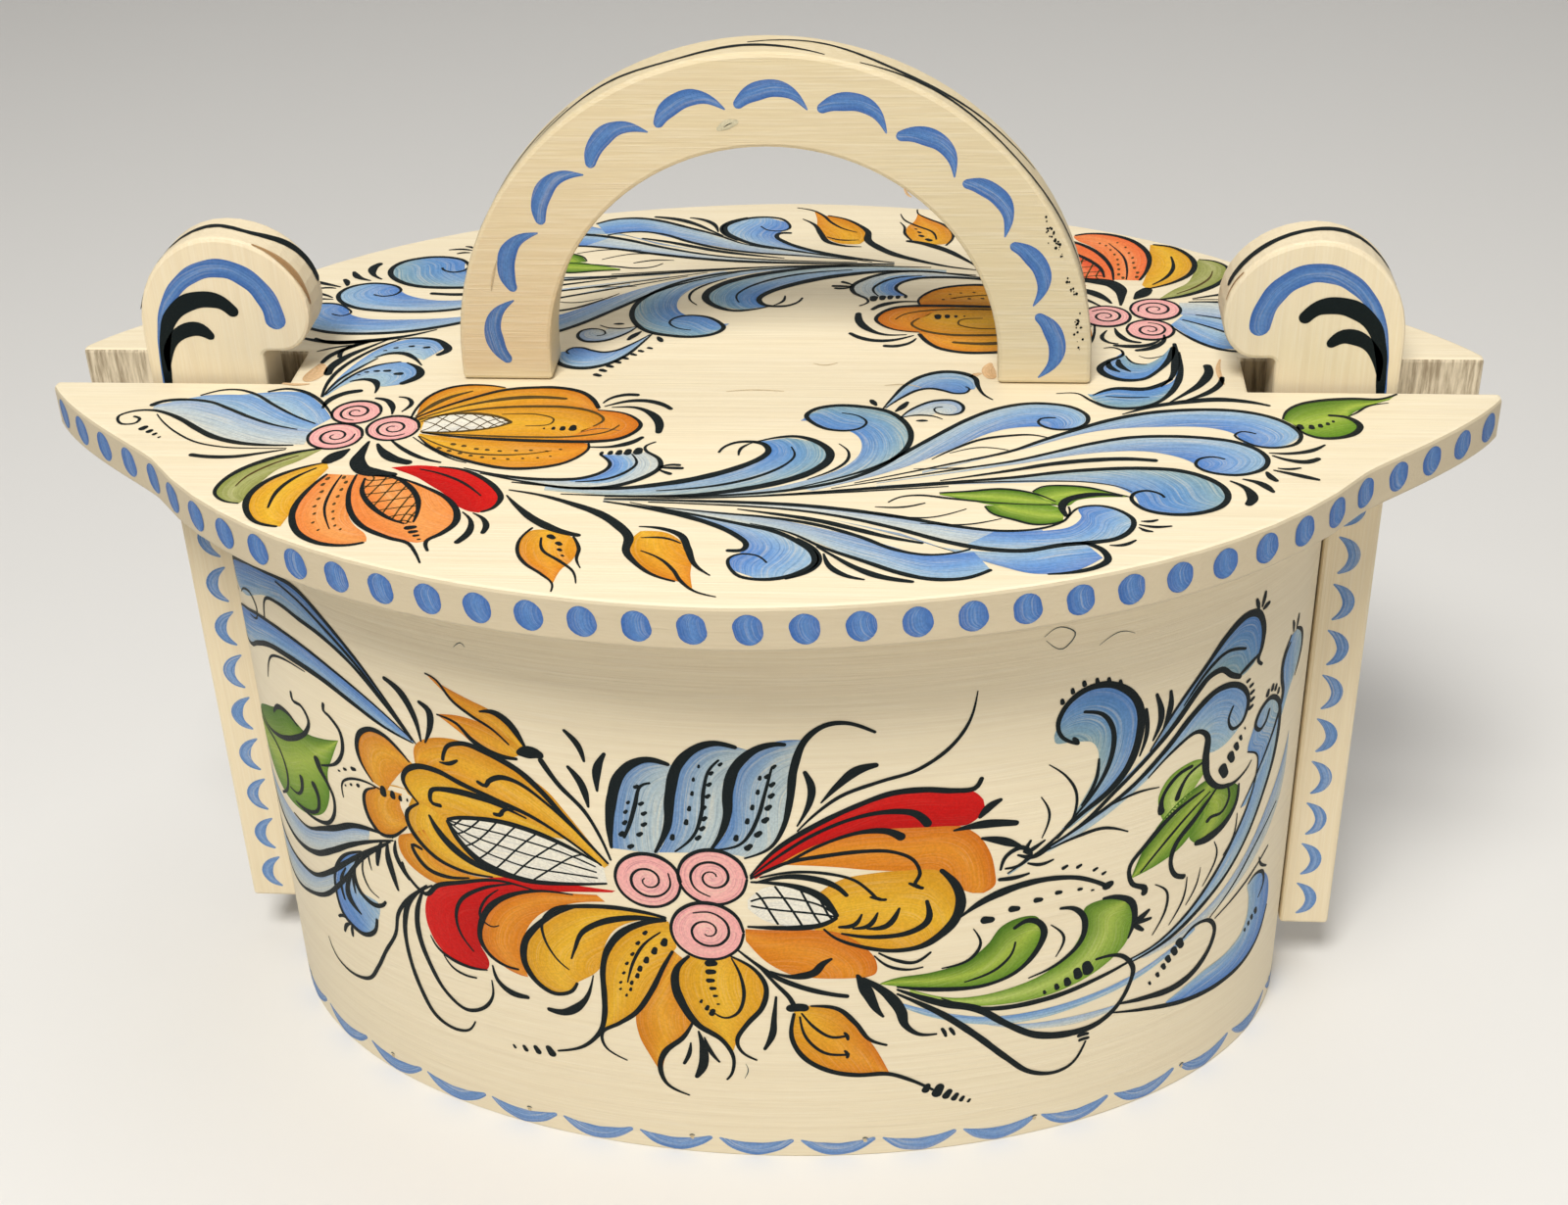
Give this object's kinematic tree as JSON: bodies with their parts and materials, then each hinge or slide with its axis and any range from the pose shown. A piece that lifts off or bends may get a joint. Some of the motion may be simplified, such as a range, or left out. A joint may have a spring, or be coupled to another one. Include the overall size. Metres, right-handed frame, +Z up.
{
  "type": "tine box",
  "caption": "Oval bentwood box whose horned lid lifts off by an arched handle between two springy scroll-headed posts, painted with flower scrolls.",
  "frame": {"origin": "on the floor below the middle of the box, at the bottom centre of its bounding box", "axes": "+Z up, +X along the oval towards the right post as the picture shows it, +Y towards the back, where the side's ends lap"},
  "size_m": [0.35, 0.22, 0.2639],
  "materials": {
    "painted_wood": "thin cream paint over fine wood grain, satin, with painted flower ornament",
    "bare_wood": "unpainted planed pine, matte",
    "peg_wood": "bare birch, end grain",
    "steel": "plain steel"
  },
  "bodies": {
    "box": {"side_band": "painted_wood", "bottom_board": "bare_wood", "lap_tack_1": "steel", "lap_tack_2": "steel", "lap_tack_3": "steel", "lap_tack_4": "steel", "lap_tack_5": "steel", "lap_tack_6": "steel", "bottom_brad_01": "steel", "bottom_brad_02": "steel", "bottom_brad_03": "steel", "bottom_brad_04": "steel", "bottom_brad_05": "steel", "bottom_brad_06": "steel", "bottom_brad_07": "steel", "bottom_brad_08": "steel", "bottom_brad_09": "steel", "bottom_brad_10": "steel", "bottom_brad_11": "steel", "bottom_brad_12": "steel", "bottom_brad_13": "steel", "bottom_brad_14": "steel", "bottom_brad_15": "steel", "bottom_brad_16": "steel"},
    "lid": {"lid_board": "painted_wood", "handle": "painted_wood", "handle_screw_left": "steel", "handle_screw_right": "steel"},
    "post_left": {"post_left": "painted_wood", "post_peg_left_lower": "peg_wood", "post_peg_left_upper": "peg_wood"},
    "post_right": {"post_right": "painted_wood", "post_peg_right_lower": "peg_wood", "post_peg_right_upper": "peg_wood"}
  },
  "joints": [
    {"name": "lid_lift", "type": "slide", "parent": "box", "child": "lid", "axis": [0, 0, 1], "range_m": [0, 0.03]},
    {"name": "post_left_spring", "type": "hinge", "parent": "box", "child": "post_left", "pos_m": [-0.1388, 0, 0.0175], "axis": [0, -1, 0], "range_deg": [0, 4.5]},
    {"name": "post_right_spring", "type": "hinge", "parent": "box", "child": "post_right", "pos_m": [0.1388, 0, 0.0175], "axis": [0, 1, 0], "range_deg": [0, 4.5]}
  ],
  "couplings": [
    {"joint": "post_left_spring", "follows": "lid_lift", "rad_per_m": 2.6},
    {"joint": "post_right_spring", "follows": "lid_lift", "rad_per_m": 2.6}
  ]
}
